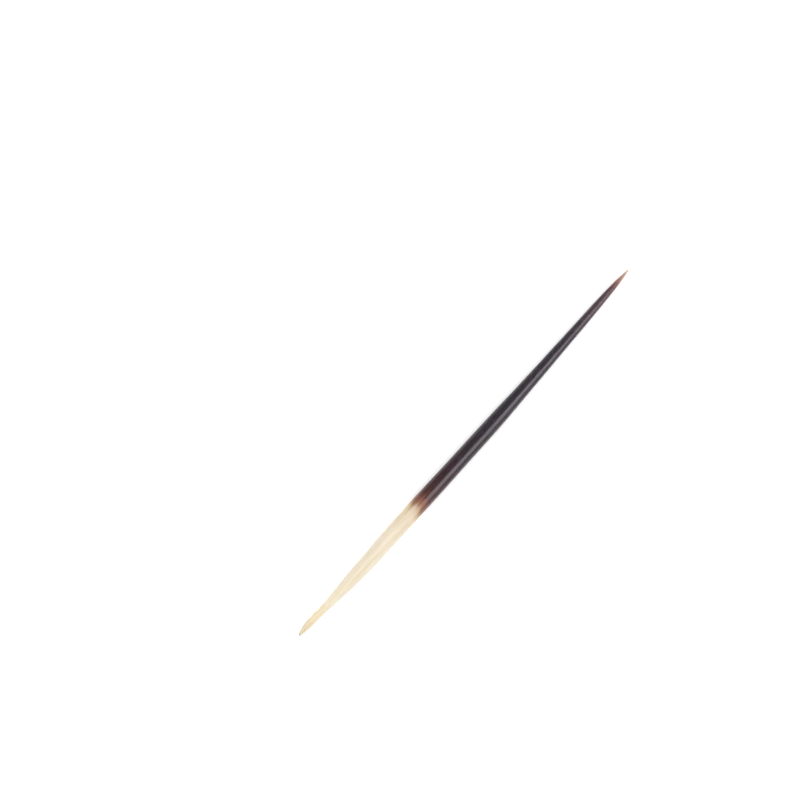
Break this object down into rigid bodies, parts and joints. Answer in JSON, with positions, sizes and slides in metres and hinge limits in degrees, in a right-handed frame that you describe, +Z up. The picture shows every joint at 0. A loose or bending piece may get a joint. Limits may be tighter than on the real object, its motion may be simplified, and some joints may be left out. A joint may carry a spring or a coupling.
{
  "type": "porcupine quill",
  "caption": "Stout porcupine quill with a narrow pale root, a swollen belly, a glossy dark shaft and a long taper to a sharp point, lying on its side.",
  "frame": {"origin": "on the surface that the quill rests on, under the middle of its box", "axes": "+X from the root end to the point, +Z up away from the surface, and the quill bends slightly towards -Y"},
  "size_m": [0.18, 0.0062, 0.006],
  "materials": {
    "horn": "satin natural horn, finely grooved along its length: cream root third, near-black shaft, amber and pale point"
  },
  "bodies": {
    "root": {"quill": "horn"}
  },
  "joints": []
}
